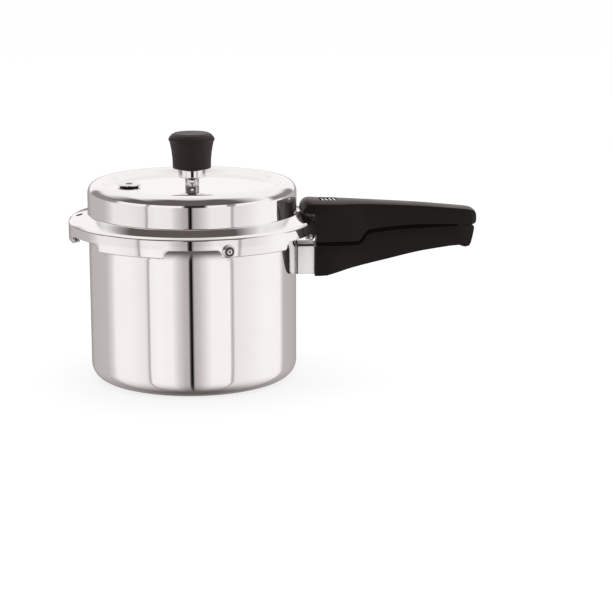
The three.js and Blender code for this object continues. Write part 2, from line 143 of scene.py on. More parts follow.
def moulded(name, colour, rough_low, rough_high, grain, bump, scale=900.0, specular=0.5, tint=(1.0, 1.0, 1.0), painted_light_tone=None):
    m, nt, p = new_material(name)
    p.inputs["Specular IOR Level"].default_value = specular
    p.inputs["Specular Tint"].default_value = (*tint, 1)
    tc = nt.nodes.new("ShaderNodeTexCoord")
    fine = node(nt, "ShaderNodeTexNoise", Scale=scale, Detail=2.0, Roughness=0.5)
    cloud = node(nt, "ShaderNodeTexNoise", Scale=55.0, Detail=4.0, Roughness=0.62)
    for t in (fine, cloud):
        nt.links.new(tc.outputs["Object"], t.inputs["Vector"])
    lo = tuple(c * (1 - grain) for c in colour)
    hi = tuple(c * (1 + grain) for c in colour)
    base = ramp(nt, cloud.outputs["Fac"], [(0.3, lo), (0.7, hi)])
    if painted_light_tone:
        # painted light: faces that look upwards are painted paler, a painted highlight where the light from above falls
        geo = nt.nodes.new("ShaderNodeNewGeometry")
        sep = nt.nodes.new("ShaderNodeSeparateXYZ")
        nt.links.new(geo.outputs["Normal"], sep.inputs[0])
        up = nt.nodes.new("ShaderNodeMapRange")
        up.interpolation_type = "SMOOTHSTEP"
        up.inputs["From Min"].default_value = 0.55
        up.inputs["From Max"].default_value = 0.95
        nt.links.new(sep.outputs[2], up.inputs["Value"])
        mix = nt.nodes.new("ShaderNodeMix")
        mix.data_type = "RGBA"
        nt.links.new(up.outputs[0], mix.inputs[0])
        nt.links.new(base, mix.inputs[6])
        mix.inputs[7].default_value = (*painted_light_tone, 1)
        # painted reflection: faces that look along -x, towards the lid, are painted paler still
        near = nt.nodes.new("ShaderNodeMapRange")
        near.interpolation_type = "SMOOTHSTEP"
        near.inputs["From Min"].default_value = 0.45
        near.inputs["From Max"].default_value = 0.9
        nt.links.new(math_node(nt, "MULTIPLY", sep.outputs[0], -1.0), near.inputs["Value"])
        mix2 = nt.nodes.new("ShaderNodeMix")
        mix2.data_type = "RGBA"
        nt.links.new(near.outputs[0], mix2.inputs[0])
        nt.links.new(mix.outputs[2], mix2.inputs[6])
        mix2.inputs[7].default_value = (*(2.6 * c for c in painted_light_tone), 1)
        base = mix2.outputs[2]
    nt.links.new(base, p.inputs["Base Color"])
    rough = nt.nodes.new("ShaderNodeMapRange")
    rough.inputs["From Min"].default_value = 0.3
    rough.inputs["From Max"].default_value = 0.7
    rough.inputs["To Min"].default_value = rough_low
    rough.inputs["To Max"].default_value = rough_high
    nt.links.new(cloud.outputs["Fac"], rough.inputs["Value"])
    nt.links.new(rough.outputs[0], p.inputs["Roughness"])
    b = node(nt, "ShaderNodeBump", Strength=bump, Distance=0.00012)
    nt.links.new(fine.outputs["Fac"], b.inputs["Height"])
    nt.links.new(b.outputs[0], p.inputs["Normal"])
    return m


MIRROR = metal("polished_aluminium", (0.93, 0.915, 0.905), 0.006, 0.02, 2600.0, 0.01)
SATIN = metal("brushed_aluminium", (0.80, 0.785, 0.775), 0.2, 0.34, 2200.0, 0.35, along=5.0, grime=0.06, metallic=0.5)
CHROME = metal("polished_steel", (0.84, 0.82, 0.81), 0.02, 0.06, 2400.0, 0.02)
BRACKET = metal("satin_bracket_steel", (0.975, 0.965, 0.955), 0.30, 0.40, 2000.0, 0.04, metallic=0.12)
TURNED = metal("turned_steel", (0.86, 0.84, 0.83), 0.02, 0.05, 2400.0, 0.02, lean=9.5)
# a darker copy of the turned steel for the vent pipe: painted shade
VENT = metal("turned_vent_steel", (0.66, 0.64, 0.63), 0.02, 0.05, 2400.0, 0.02, lean=9.5)
# near-black steel: painted shade in bores, grooves and gaps
SHADE_STEEL = metal("steel_painted_shade", (0.12, 0.107, 0.104), 0.25, 0.4, 1500.0, 0.1)
ZINC = metal("plain_steel", (0.62, 0.61, 0.6), 0.22, 0.38, 1800.0, 0.2, grime=0.08)
ALLOY = metal("fusible_alloy", (0.45, 0.44, 0.43), 0.35, 0.5, 900.0, 0.3, grime=0.12)
# the handle phenolic is painted paler on top and towards the lid: painted light
BAKELITE = moulded("black_phenolic", (0.0048, 0.0036, 0.0032), 0.36, 0.46, 0.2, 0.12, specular=0.24, tint=(1.0, 0.86, 0.83), painted_light_tone=(0.046, 0.036, 0.032))
# a near-black copy of the phenolic: painted shade for joint lines and gaps
SHADE = moulded("phenolic_painted_shade", (0.003, 0.0025, 0.0023), 0.6, 0.7, 0.2, 0.1, specular=0.06)
# pale brown-grey phenolic: painted reflection for the web's face towards the skirt
WEB_PAINTED_LIGHT = moulded("phenolic_painted_reflection", (0.42, 0.39, 0.375), 0.5, 0.6, 0.1, 0.05, specular=0.2)
KNOB = moulded("black_phenolic_knob", (0.0125, 0.0098, 0.0090), 0.44, 0.56, 0.18, 0.16, specular=0.44, tint=(1.0, 0.88, 0.85))
RUBBER = moulded("black_rubber", (0.016, 0.016, 0.017), 0.62, 0.78, 0.25, 0.3, scale=600.0, specular=0.35)


# ------------------------------------------------------------------ mesh helpers
def rounded(points, seg=6):
    """A polyline of (r, z, fillet) corners with each fillet drawn as an arc of seg steps."""
    out = []
    n = len(points)
    for i, pt in enumerate(points):
        p = np.array(pt[:2], float)
        rad = pt[2] if len(pt) > 2 else 0
        if i in (0, n - 1) or rad <= 0:
            out.append(p)
            continue
        a = np.array(points[i - 1][:2], float) - p
        b = np.array(points[i + 1][:2], float) - p
        la, lb = np.linalg.norm(a), np.linalg.norm(b)
        a, b = a / la, b / lb
        half = math.acos(max(-1, min(1, float(a @ b)))) / 2
        t = rad / math.tan(half)
        t = min(t, la * 0.98, lb * 0.98)
        r = t * math.tan(half)
        c = p + (a + b) / np.linalg.norm(a + b) * (r / math.sin(half))
        s, e = p + a * t - c, p + b * t - c
        a0, a1 = math.atan2(s[1], s[0]), math.atan2(e[1], e[0])
        d = (a1 - a0 + math.pi) % (2 * math.pi) - math.pi
        for k in range(seg + 1):
            q = a0 + d * k / seg
            out.append(c + r * np.array([math.cos(q), math.sin(q)]))
    return np.array(out)


def refined(poly, step):
    """Splits the long straight runs of a polyline so that no step is longer than step."""
    out = [poly[0]]
    for a, b in zip(poly[:-1], poly[1:]):
        k = max(1, int(math.ceil(np.linalg.norm(b - a) / step)))
        out += [a + (b - a) * j / k for j in range(1, k + 1)]
    return np.array(out)


def place(name, verts, faces, body, nodes=(), mats=(), face_mats=None, sharp=32, bevel=None, crisp=None):
    me = bpy.data.meshes.new(name)
    me.from_pydata([tuple(v) for v in np.asarray(verts, float) * MM], [], [tuple(f) for f in faces])
    for m in mats:
        me.materials.append(m)
    if face_mats is not None:
        for poly, k in zip(me.polygons, face_mats):
            poly.material_index = int(k)
    bm = bmesh.new()
    bm.from_mesh(me)
    bmesh.ops.remove_doubles(bm, verts=bm.verts, dist=1e-7)
    bmesh.ops.recalc_face_normals(bm, faces=bm.faces)
    if bevel:
        width, seg, angle = bevel
        edges = [e for e in bm.edges if len(e.link_faces) == 2 and e.calc_face_angle(0) > math.radians(angle) and not (crisp and crisp(*((e.verts[0].co + e.verts[1].co) / 2 / MM)))]
        bmesh.ops.bevel(bm, geom=edges, offset=width * MM, offset_type="OFFSET", segments=seg, profile=0.5, affect="EDGES", clamp_overlap=True)
    many = [fc for fc in bm.faces if len(fc.verts) > 4]
    if many:
        bmesh.ops.triangulate(bm, faces=many, quad_method="BEAUTY", ngon_method="BEAUTY")
    bm.to_mesh(me)
    bm.free()
    for poly in me.polygons:
        poly.use_smooth = True
    me.set_sharp_from_angle(angle=math.radians(sharp))
    o = bpy.data.objects.new(name, me)
    scene.collection.objects.link(o)
    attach(o, body)
    if nodes:
        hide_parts(*nodes)
    return o


def swept(phis, profile, closed=False, shift=(0, 0, 0)):
    """Turns a profile about Z. profile(phi) gives the same number of (r, z) points for every phi, in degrees."""
    rings = [np.asarray(profile(p), float) for p in phis]
    n, m = len(phis), len(rings[0])
    verts, ids = [], np.zeros((n, m), int)
    poles = {}
    for i, (p, ring) in enumerate(zip(phis, rings)):
        s, c = math.sin(math.radians(p)), -math.cos(math.radians(p))
        for j, (r, z) in enumerate(ring):
            if r < 1e-6:
                if j not in poles:
                    poles[j] = len(verts)
                    verts.append((shift[0], shift[1], z + shift[2]))
                ids[i, j] = poles[j]
            else:
                ids[i, j] = len(verts)
                verts.append((r * s + shift[0], r * c + shift[1], z + shift[2]))
    faces, rows = [], []
    for i in range(n):
        k = (i + 1) % n
        for j in range(m if closed else m - 1):
            l = (j + 1) % m
            f = [ids[i, j], ids[k, j], ids[k, l], ids[i, l]]
            g = []
            for v in f:
                if v not in g:
                    g.append(v)
            if len(g) >= 3:
                faces.append(g)
                rows.append(j)
    return verts, faces, rows


def round_phis(n):
    return [360.0 * i / n for i in range(n)]


def turned(name, points, body, nodes, mat, n=96, seg=5, closed=None, shift=(0, 0, 0), step=None, sharp=32):
    poly = rounded(points, seg)
    if step:
        poly = refined(poly, step)
    closed = poly[0][0] > 1e-6 if closed is None else closed
    v, f, _ = swept(round_phis(n), lambda p: poly, closed, shift)
    return place(name, v, f, body, nodes, [mat], sharp=sharp)


def radial(name, points, phi, z, body, nodes, mat, n=48, seg=4, dark=None):
    """A piece turned about a level line that points out from the axis at phi. points: (radius, distance from the axis)."""
    poly = rounded(points, seg)
    out = np.array([math.sin(math.radians(phi)), -math.cos(math.radians(phi)), 0.0])
    side = np.array([math.cos(math.radians(phi)), math.sin(math.radians(phi)), 0.0])
    v, f, rows = swept(round_phis(n), lambda p: poly, poly[0][0] > 1e-6)
    # faces picked by dark take the near-black steel: painted shade
    fm = [1 if dark and dark(*((poly[j] + poly[j + 1]) / 2)) else 0 for j in rows]
    v = [side * x + np.array([0.0, 0.0, 1.0]) * y + out * h + np.array([0.0, 0.0, z]) for x, y, h in v]
    return place(name, v, f, body, nodes, [mat, SHADE_STEEL] if dark else [mat], fm)


def smoothstep(t):
    t = min(1.0, max(0.0, t))
    return t * t * (3 - 2 * t)


def near_tab(phi, first=30.0):
    """Signed angle from the middle of the nearest of six tabs."""
    return (phi - first + 30.0) % 60.0 - 30.0


# ------------------------------------------------------------------ camera
cam_data = bpy.data.cameras.new("camera")
cam_data.sensor_width = 36.0
cam_data.lens = 36.0 * 1884.01 / 612.0
cam_data.clip_end = 100.0
cam = bpy.data.objects.new("camera", cam_data)
cam.location = (0.0, -1.79796, 0.474206)
cam.rotation_euler = (math.pi / 2 - 0.223, 0.0, -0.061)
scene.collection.objects.link(cam)
scene.camera = cam

# ------------------------------------------------------------------ pot
LUG_HALF = 12.0


def pot_phis():
    base = set(round(360.0 * i / 240, 4) for i in range(240))
    for k in range(6):
        c = 30 + 60 * k
        for e in (-1, 1):
            for d in np.linspace(-0.2, 1.5, 12):
                base.add(round((c + e * (LUG_HALF - d)) % 360, 4))
    out = sorted(base)
    keep = [out[0]]
    for p in out[1:]:
        if p - keep[-1] > 0.06:
            keep.append(p)
    return keep


def pot_profile(phi):
    d = abs(near_tab(phi))
    t = smoothstep((LUG_HALF - d) / 1.3)
    mix = lambda a, b: (a[0] + (b[0] - a[0]) * t, a[1] + (b[1] - a[1]) * t, a[2] + (b[2] - a[2]) * t)
    return rounded(
        [
            (0, 0),
            (100, 0, 15),
            (100, 138.6, 17.0),
            mix((107.6, 144.6, 1.6), (107.6, 146.2, 1.2)),
            mix((108.1, 145.0, 0.05), (110.2, 146.6, 0.5)),
            mix((108.2, 145.1, 0.05), (110.2, 140.4, 0.5)),
            mix((108.45, 145.4, 0.05), (113.6, 140.4, 0.9)),
            mix((108.5, 150.2, 1.2), (113.6, 150.2, 2.6)),
            (97, 150.2, 3.6),
            (97, 4, 12),
            (0, 4),
        ],
        7,
    )


phis = pot_phis()
base_prof = pot_profile(30.0)
# split the straight wall runs and the two base discs evenly, at the same places in every column
def pot_columns(phi):
    p = pot_profile(phi)
    out = [p[0]]
    for a, b, a0, b0 in zip(p[:-1], p[1:], base_prof[:-1], base_prof[1:]):
        k = max(1, int(math.ceil(np.linalg.norm(b0 - a0) / 12.0)))
        out += [a + (b - a) * j / k for j in range(1, k + 1)]
    return np.array(out)


v, f, rows = swept(phis, pot_columns)
ring = pot_columns(30.0)
inner_from = max(j for j in range(len(ring)) if ring[j][1] > 150.1)
under_to = max(j for j in range(len(ring) // 3) if ring[j][1] < 0.01)
fm = [1 if (r >= inner_from or r < under_to) else 0 for r in rows]
pot = place("pot_shell", v, f, "pot", ["pot_body"], [MIRROR, SATIN], fm, sharp=40)

# ------------------------------------------------------------------ lid
TAB_HALF = 17.0
SKIRT_R = 119.1
TAB_Z, NOTCH_Z = 137.5, 144.6


def tab_edge():
    """(offset from the tab's end in mm along the skirt, height) of one tab end: round tab corner, side, round notch corner."""
    pts = rounded([(-8, TAB_Z), (0.0, TAB_Z, 2.6), (1.6, NOTCH_Z, 6.0), (12, NOTCH_Z)], 8)
    return pts


EDGE = tab_edge()


def skirt_bottom(phi):
    s = (abs(near_tab(phi)) - TAB_HALF) * math.radians(1) * SKIRT_R
    return float(np.interp(s, EDGE[:, 0], EDGE[:, 1]))


def lid_phis():
    base = set(round(360.0 * i / 240, 4) for i in range(240))
    for k in range(6):
        c = 30 + 60 * k
        for e in (-1, 1):
            for s in EDGE[1:-1, 0]:
                base.add(round((c + e * (TAB_HALF + s / SKIRT_R / math.radians(1))) % 360, 4))
            for d in np.linspace(0.0, 1.4, 6):
                base.add(round((c + e * (TAB_HALF - 0.9 - d)) % 360, 4))
    out = sorted(base)
    keep = [out[0]]
    for p in out[1:]:
        if p - keep[-1] > 0.008:
            keep.append(p)
    return keep


def lid_profile(phi):
    zb = skirt_bottom(phi)
    t = smoothstep((TAB_HALF - 0.9 - abs(near_tab(phi))) / 1.3)
    mix = lambda a, b: a + (b - a) * t
    return rounded(
        [
            (0, 186),
            (80.4, 186, 1.4),
            (86.4, 191.6, 7),
            (100.5, 191.6, 10.8),
            (100.5, 161.0, 1.3),
            (116.4, 156.7, 2.0),
            (119.1, 154.5, 2.2),
            (119.1, zb, mix(0.9, 1.2)),
            (mix(117.2, 110.8), zb, mix(0.15, 0.7)),
            (mix(116.95, 110.8), zb + mix(0.2, 2.2), mix(0.05, 0.7)),
            (116.7, zb + mix(0.6, 2.2), mix(0.05, 0.8)),
            (116.7, 154.3, 1.6),
            (98.1, 156.7, 6.0),
            (98.1, 189.2, 8.4),
            (87.4, 189.2, 6),
            (81.4, 183.6, 3.0),
            (0, 183.6),
        ],
        7,
    )


lid_base = lid_profile(30.0)


def lid_columns(phi):
    p = lid_profile(phi)
    out = [p[0]]
    for a, b, a0, b0 in zip(p[:-1], p[1:], lid_base[:-1], lid_base[1:]):
        k = max(1, int(math.ceil(np.linalg.norm(b0 - a0) / 9.0)))
        out += [a + (b - a) * j / k for j in range(1, k + 1)]
    return np.array(out)


v, f, rows = swept(lid_phis(), lid_columns)
ring = lid_columns(30.0)
lid_in = min(j for j in range(len(ring)) if j > len(ring) // 3 and ring[j][1] < 138.5 and ring[j][0] < 117)
fm = [1 if r >= lid_in else 0 for r in rows]
lid_obj = place("lid_shell_polished", v, f, "lid", ["lid_shell"], [MIRROR, SATIN], fm, sharp=40)

gasket = turned(
    "gasket_ring",
    [
        (101.6, 150.5, 0.6), (113.4, 150.5, 0.9), (114.1, 153.4, 0.8), (112.4, 154.6, 0.6), (105.4, 155.9, 0.6), (102.8, 156.4, 0.5),
        (101.9, 155.6, 0.4), (102.6, 154.2, 0.4), (108.2, 153.6, 0.3), (108.2, 152.6, 0.3), (101.6, 152.4, 0.5), (101.55, 151.4, 0),
    ],
    "gasket", ["gasket"], RUBBER, n=240, seg=3,
)


# ------------------------------------------------------------------ handles
def slab(name, outline, half, crown, body, nodes, mat, slices=17, bevel=(0.9, 3, 30), skew=None, crisp=None):
    """A moulded bar: an outline in X and Z, repeated across Y, with its top raised along the middle.
    outline: (x, z, rise) points; half(x): half width; crown(t): height share at t = y / half."""
    ts = [math.sin(math.pi / 2 * u) for u in np.linspace(-1, 1, slices)]
    m = len(outline)
    verts, faces = [], []
    for t in ts:
        for x, z, rise in outline:
            y = t * half(x)
            verts.append((x + (skew(x, y, z) if skew else 0.0), y, z + rise * crown(t)))
    for i in range(slices - 1):
        for j in range(m):
            k = (j + 1) % m
            faces.append((i * m + j, i * m + k, (i + 1) * m + k, (i + 1) * m + j))
    faces.append(tuple(range(m)))
    faces.append(tuple((slices - 1) * m + j for j in reversed(range(m))))
    return place(name, verts, faces, body, nodes, [mat], sharp=28, bevel=bevel, crisp=crisp)


def curve(points, xs=None, per=6):
    """Points on a smooth curve through (x, z) or (x, z, rise) points."""
    p = np.array(points, float)
    out = []
    for i in range(len(p) - 1):
        p0 = p[max(i - 1, 0)]
        p1, p2 = p[i], p[i + 1]
        p3 = p[min(i + 2, len(p) - 1)]
        for k in range(per):
            t = k / per
            out.append(0.5 * ((2 * p1) + (p2 - p0) * t + (2 * p0 - 5 * p1 + 4 * p2 - p3) * t * t + (3 * p1 - p0 - 3 * p2 + p3) * t ** 3))
    out.append(p[-1])
    return [tuple(q) for q in out]


crown = lambda t: 1 - abs(t) ** 3.4

up_top = curve([(113.2, 169.4, 4.0), (124, 168.9, 3.8), (140, 168.8, 3.3), (168, 168.4, 2.4), (215, 166.3, 1.6), (245, 164.0, 1.2), (262, 162.5, 1.0)], per=5)
up_end = [(267.6, 161.9, 0.8), (271.2, 161.1, 0.5), (273.8, 159.4, 0.3), (275.0, 156.8, 0.1), (275.3, 153.6, 0), (275.3, 150.6, 0), (274.6, 148.5, 0), (272.6, 147.4, 0), (270.8, 147.3, 0), (262, 147.5, 0)]
up_low = curve([(240, 147.9, 0), (215, 147.7, 0), (190, 146.0, 0), (174.5, 144.0, 0)], per=4)
up_step = [(170.2, 143.2, 0), (167.2, 141.4, 0), (163.4, 135.2, 0), (160.6, 132.6, 0), (157, 132, 0)]
up_nose = [(120.2, 132, 0), (120.2, 156.6, 0), (118.6, 158.7, 0), (115.6, 159.4, 0), (108.6, 160.0, 0), (104.0, 160.6, 0.4), (103.1, 160.9, 1.2), (102.9, 161.4, 2.3), (103.3, 162.7, 4.0), (104.6, 164.3, 5.3), (106.8, 166.1, 5.9), (109.6, 167.9, 5.3)]
UP_X = [103.0, 106.0, 110.0, 113.6, 118, 137, 145, 153, 162, 171, 215, 262, 270.8, 273.2, 275.3]
UP_W = [14.6, 15.4, 16.2, 16.4, 16.5, 16.5, 15.7, 14.1, 12.7, 11.9, 11.2, 10.9, 10.7, 8.6, 6.6]
half_up = lambda x: float(np.interp(x, UP_X, UP_W))


def nose_skew(x, y, z):
    """The nose is rounded in plan, and the face towards the skirt turns back a little to the rear."""
    if abs(x - 120.2) < 0.1:
        return 0.12 * (y + 16.5) - 0.8
    return 3.2 * (y / 15.0) ** 2 * min(1.0, max(0.0, (114.0 - x) / 11.0))


upper = slab("upper_handle_moulded", up_top + up_end + up_low + up_step + up_nose, half_up, crown, "lid", ["upper_handle"], BAKELITE, bevel=(0.6, 3, 30), skew=nose_skew, crisp=lambda x, y, z: 117 < x < 126 and z < 159)

# the web that closes the handle against the skirt; its face towards the skirt is painted pale brown-grey, a painted
# reflection seen in the polished skirt
v = [(x, y, z) for x in (119.0, 124.5) for y in (-14.0, 14.0) for z in (132.5, 159.8)]
f = [(0, 1, 3, 2), (4, 6, 7, 5), (0, 4, 5, 1), (2, 3, 7, 6), (0, 2, 6, 4), (1, 5, 7, 3)]
place("upper_handle_web", v, f, "lid", (), [BAKELITE, WEB_PAINTED_LIGHT], [1, 0, 0, 0, 0, 0], bevel=(0.4, 2, 40))

# the lower handle has a low shoulder all along its top edge, with a narrower rib that rises under the upper handle
DROP = lambda x: float(np.interp(x, [117, 166, 178, 225, 255, 262, 272], [2.4, 2.5, 2.7, 2.3, 0.9, 0.3, 0.2]))
low_line = [(117.4, 130.4), (140, 130.4), (156.6, 130.4), (160.8, 130.9), (164.2, 133.4), (168.1, 139.7), (171.2, 141.7), (176, 142.7)]
low_line2 = curve([(190, 144.3), (215, 146.0), (240, 146.5), (262, 146.3)], per=4)
low_end = [(268.6, 146.4, 0), (272.2, 145.9, 0), (273.5, 143.8, 0), (272.6, 138.4, 0), (271.3, 133.4, 0), (270.0, 128.6, 0), (268.2, 126.0, 0), (265.0, 125.2, 0), (261.8, 125.6, 0), (258.6, 126.9, 0)]
low_bot = curve([(250, 126.2, 0), (235, 124.0, 0), (215.3, 120.6, 0), (184.2, 113.3, 0), (153.3, 106.1, 0), (140, 102.2, 0), (129.5, 99.2, 0)], per=4)
low_front = [(124, 98.8, 0), (117.4, 98.8, 0)]
LOW_X = [117.4, 135, 145, 155, 165, 175, 215, 258, 268.2, 271.3, 273.6]
LOW_W = [16, 16, 14.8, 13.1, 12.0, 11.4, 10.9, 10.7, 10.5, 8.8, 7.0]
half_low = lambda x: float(np.interp(x, LOW_X, LOW_W))
top_pts = [(x, z - DROP(x), 0) for x, z in low_line + low_line2]
lower = slab("lower_handle_moulded", top_pts + low_end + low_bot + low_front, half_low, lambda t: 0.0, "pot", ["lower_handle"], BAKELITE, slices=9)
# the rib is in the near-black phenolic: painted shade that darkens the joint line under the upper handle
rib_top = [(x, z + 0.9, 0) for x, z in [(119.6, 130.4)] + low_line[1:] + low_line2[:-1]] + [(257, 146.95, 0)]
rib_bot = [(x, z - 6.0, 0) for x, z in [(257, 146.7)] + list(reversed(low_line2[:-1])) + list(reversed(low_line[1:])) + [(119.6, 130.4)]]
slab("lower_handle_rib", rib_top + rib_bot, lambda x: half_low(x) - 1.3, lambda t: 0.0, "pot", (), SHADE, slices=5, bevel=(0.35, 2, 40))


def cut(target, cutter):
    """Takes one closed shape out of another, for good."""
    mod = target.modifiers.new("cut", "BOOLEAN")
    mod.operation = "DIFFERENCE"
    mod.solver = "EXACT"
    mod.object = cutter
    dg = bpy.context.evaluated_depsgraph_get()
    me = bpy.data.meshes.new_from_object(target.evaluated_get(dg))
    target.modifiers.remove(mod)
    old = target.data
    target.data = me
    bpy.data.meshes.remove(old)
    bpy.data.objects.remove(cutter)
    for poly in target.data.polygons:
        poly.use_smooth = True
    target.data.set_sharp_from_angle(angle=math.radians(28))


def rounded_plate(x0, x1, y0, y1, z0, z1, r, seg=5):
    """Verts and faces of an upright prism with rounded corners."""
    pts = []
    for cx, cy, a in ((x1 - r, y1 - r, 0), (x0 + r, y1 - r, 90), (x0 + r, y0 + r, 180), (x1 - r, y0 + r, 270)):
        for k in range(seg + 1):
            q = math.radians(a + 90 * k / seg)
            pts.append((cx + r * math.cos(q), cy + r * math.sin(q)))
    n = len(pts)
    verts = [(x, y, z0) for x, y in pts] + [(x, y, z1) for x, y in pts]
    faces = [tuple(reversed(range(n))), tuple(range(n, 2 * n))]
    faces += [(j, (j + 1) % n, n + (j + 1) % n, n + j) for j in range(n)]
    return verts, faces


def cutter(verts, faces):
    me = bpy.data.meshes.new("cutter")
    me.from_pydata([tuple(np.array(q) * MM) for q in verts], [], faces)
    bm = bmesh.new()
    bm.from_mesh(me)
    bmesh.ops.recalc_face_normals(bm, faces=bm.faces)
    bm.to_mesh(me)
    bm.free()
    o = bpy.data.objects.new("cutter", me)
    scene.collection.objects.link(o)
    return o


def disc_cutter(x, y, r, z0, z1, n=32):
    pts = [(x + r * math.cos(2 * math.pi * k / n), y + r * math.sin(2 * math.pi * k / n)) for k in range(n)]
    verts = [(a, b, z0) for a, b in pts] + [(a, b, z1) for a, b in pts]
    faces = [tuple(reversed(range(n))), tuple(range(n, 2 * n))] + [(j, (j + 1) % n, n + (j + 1) % n, n + j) for j in range(n)]
    return cutter(verts, faces)


cut(upper, cutter(*rounded_plate(122.4, 139.2, -9.0, 8.6, 167.3, 182, 2.2)))
cut(upper, disc_cutter(143, 0, 5.0, 125, 137))
cut(lower, disc_cutter(138, 0, 5.4, 90, 105.4))

cut(lid_obj, cutter(*rounded_plate(-112.0, -105.0, -4.8, 4.8, 150, 165, 3.2)))

# the grip recess: a dark plate with slanted bright ribs on it
v, f = rounded_plate(122.9, 138.7, -7.7, 7.7, 167.4, 168.3, 1.8)
plate = place("grip_plate", v, f, "lid", ["grip_insert"], [BAKELITE], bevel=(0.25, 2, 40))
for k in range(4):
    v, f = rounded_plate(-0.8, 0.8, -7.6, 3.2, 168.2, 172.0, 0.7)
    a = math.radians(11)
    v = [(x * math.cos(a) - y * math.sin(a) + 125.2 + 3.75 * k, x * math.sin(a) + y * math.cos(a), z) for x, y, z in v]
    place(f"grip_rib_{k + 1}", v, f, "lid", (), [CHROME], bevel=(0.4, 3, 40))

# ------------------------------------------------------------------ pot bracket
def bracket():
    verts, faces, mats = [], [], []

    def box_shell(pts_yz, x_from, x_to, mat):
        n = len(pts_yz)
        b = len(verts)
        for y, z in pts_yz:
            verts.append((math.sqrt(x_from ** 2 - y * y), y, z))
        for y, z in pts_yz:
            verts.append((x_to, y, z))
        for j in range(n):
            k = (j + 1) % n
            faces.append((b + j, b + k, b + n + k, b + n + j))
            # faces round both top edges take the near-black phenolic: a painted shadow line along the bracket's top
            mats.append(1 if mat == 0 and j in (2, 3, 4, 8, 9, 10) else mat)
        faces.append(tuple(b + n + j for j in range(n)))
        faces.append(tuple(b + j for j in reversed(range(n))))
        mats.extend((mat, mat))

    def rim(inset):
        ring = []
        r, seg = 3.2, 6
        for cy, cz, a in ((13.5 - r, 129.6 - r, 0), (-13.5 + r, 129.6 - r, 90), (-13.5 + r, 100 + r, 180), (13.5 - r, 100 + r, 270)):
            for k in range(seg + 1):
                q = math.radians(a + 90 * k / seg)
                ring.append((cy + (r - inset) * math.cos(q), cz + (r - inset) * math.sin(q)))
        return ring

    box_shell(rim(0.0), 101.8, 117.1, 0)
    # a thin near-black strip where the bracket meets the pot: painted shade in the joint gap
    box_shell(rim(0.15), 100.1, 102.2, 2)
    return verts, faces, mats


v, f, fm = bracket()
place("pot_bracket_box", v, f, "pot", ["pot_bracket"], [BRACKET, SHADE, SHADE], fm, bevel=(0.5, 3, 40))

# ------------------------------------------------------------------ vent, weight and safety plug
pipe = turned(
    "vent_pipe_turned",
    [
        (1.6, 172.7, 0), (3.9, 172.7, 0.5), (3.9, 186.65, 0), (5.95, 186.65, 0), (5.95, 186.12, 0), (6.75, 186.12, 0.2), (6.75, 193.4, 0.7), (4.0, 193.4, 0.4), (4.0, 206.5, 1.2), (1.6, 206.5, 0.3),
    ],
    "lid", ["vent_pipe"], VENT, n=64,
)
ring = [(1.75 * math.cos(2 * math.pi * k / 28), 189.9 + 1.75 * math.sin(2 * math.pi * k / 28)) for k in range(28)]
cut(pipe, cutter([(a, -12, b) for a, b in ring] + [(a, 12, b) for a, b in ring], [tuple(range(28)), tuple(reversed(range(28, 56)))] + [(j, (j + 1) % 28, 28 + (j + 1) % 28, 28 + j) for j in range(28)]))
# the bore and the cross hole are painted near-black: painted shade inside the holes
pipe.data.materials.append(SHADE_STEEL)
for poly in pipe.data.polygons:
    x, y, z = (c / MM for c in poly.center)
    if math.hypot(x, y) < 1.75 or (math.hypot(x, y) < 6.45 and 187.2 < z < 192.6):
        poly.material_index = 1
turned("vent_seal_ring", [(4.3, 186.08, 0.1), (5.75, 186.08, 0.15), (5.75, 186.6, 0.15), (4.3, 186.62, 0.1), (4.3, 186.3, 0)], "lid", ["vent_seal"], RUBBER, n=48, seg=2)
turned(
    "weight_metal",
    [
        (0, 208.6), (1.4, 207), (4.7, 207, 0.3), (4.7, 194.7, 0.6), (13.2, 194.7, 0.7), (13.2, 203.1, 0.3), (10.8, 203.1, 0), (10.8, 224.6, 0.4), (4, 224.6, 0), (4, 231.4, 0.4), (0, 231.4),
    ],
    "weight", ["weight_body"], TURNED, n=96,
)
turned(
    "weight_knob_moulded",
    [
        (0, 237.3), (16.6, 237.2, 0.8), (19.3, 235.7, 1.8), (21.4, 233.3, 1.8), (22.35, 231.0, 0.9), (21.45, 229.4, 0.5), (21.15, 228.9, 0.4), (20.3, 224.8, 14), (19.3, 219.0, 20), (18.55, 211.5, 30), (18.4, 203.4, 0.9), (11.2, 203.4, 0.3), (11.2, 225, 0.3), (4.4, 225, 0), (4.4, 231.8, 0), (0, 231.8),
    ],
    "weight", ["weight_knob"], KNOB, n=96, seg=8,
)
PLUG = (-60.5, 0, 0)
turned(
    "safety_plug_turned",
    [
        (3.1, 175.1, 0), (5.9, 175.1, 0.4), (5.9, 186.75, 0), (10.3, 186.75, 0.2), (11.3, 187.3, 0.3), (11.2, 188.0, 0.3), (9.6, 188.7, 0.8), (6.4, 188.9, 0.4), (5.2, 188.3, 0.4), (3.1, 188.3, 0.2),
    ],
    "lid", ["safety_plug_body"], CHROME, n=72, shift=PLUG,
)
turned("safety_plug_core", [(0, 175.4), (2.8, 175.4, 0.3), (2.8, 189.4, 0.9), (0, 189.5)], "lid", ["safety_plug_slug"], ALLOY, n=40, shift=PLUG)
turned("safety_plug_washer", [(6.3, 186.1, 0.1), (8.9, 186.1, 0.2), (8.9, 186.7, 0.2), (6.3, 186.7, 0.1), (6.3, 186.4, 0)], "lid", ["safety_plug_seal"], RUBBER, n=56, seg=3, shift=PLUG)

